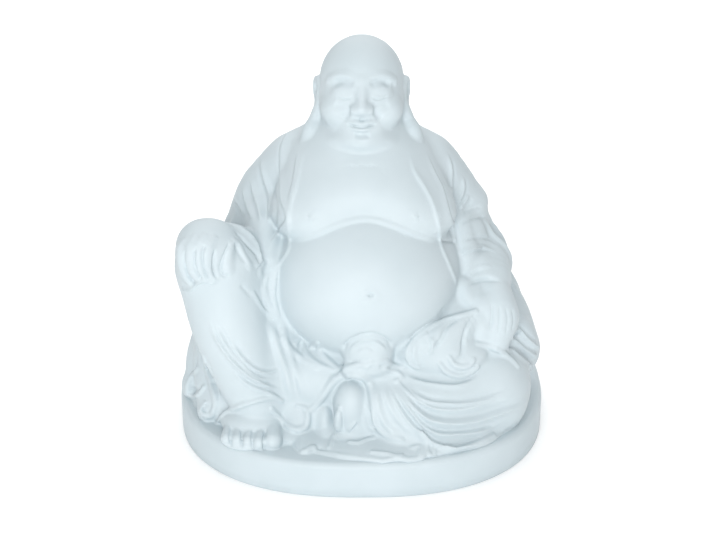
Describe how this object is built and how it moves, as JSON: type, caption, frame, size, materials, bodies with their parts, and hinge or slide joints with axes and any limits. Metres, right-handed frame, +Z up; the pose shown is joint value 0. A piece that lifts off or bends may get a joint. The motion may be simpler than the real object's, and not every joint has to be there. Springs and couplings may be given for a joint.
{
  "type": "seated figure statue",
  "caption": "Laughing budai statue seated with one knee raised on a low rounded base, cast in one piece to stand on a table or shelf.",
  "frame": {"origin": "middle of the base's flat underside", "axes": "+Z up, the figure faces -Y, +X to the right of someone who looks at its face"},
  "size_m": [0.368, 0.348, 0.3951],
  "materials": {
    "plaster": "matt cast plaster, white with a cool cast"
  },
  "bodies": {
    "root": {"budai_figure": "plaster"}
  },
  "joints": []
}
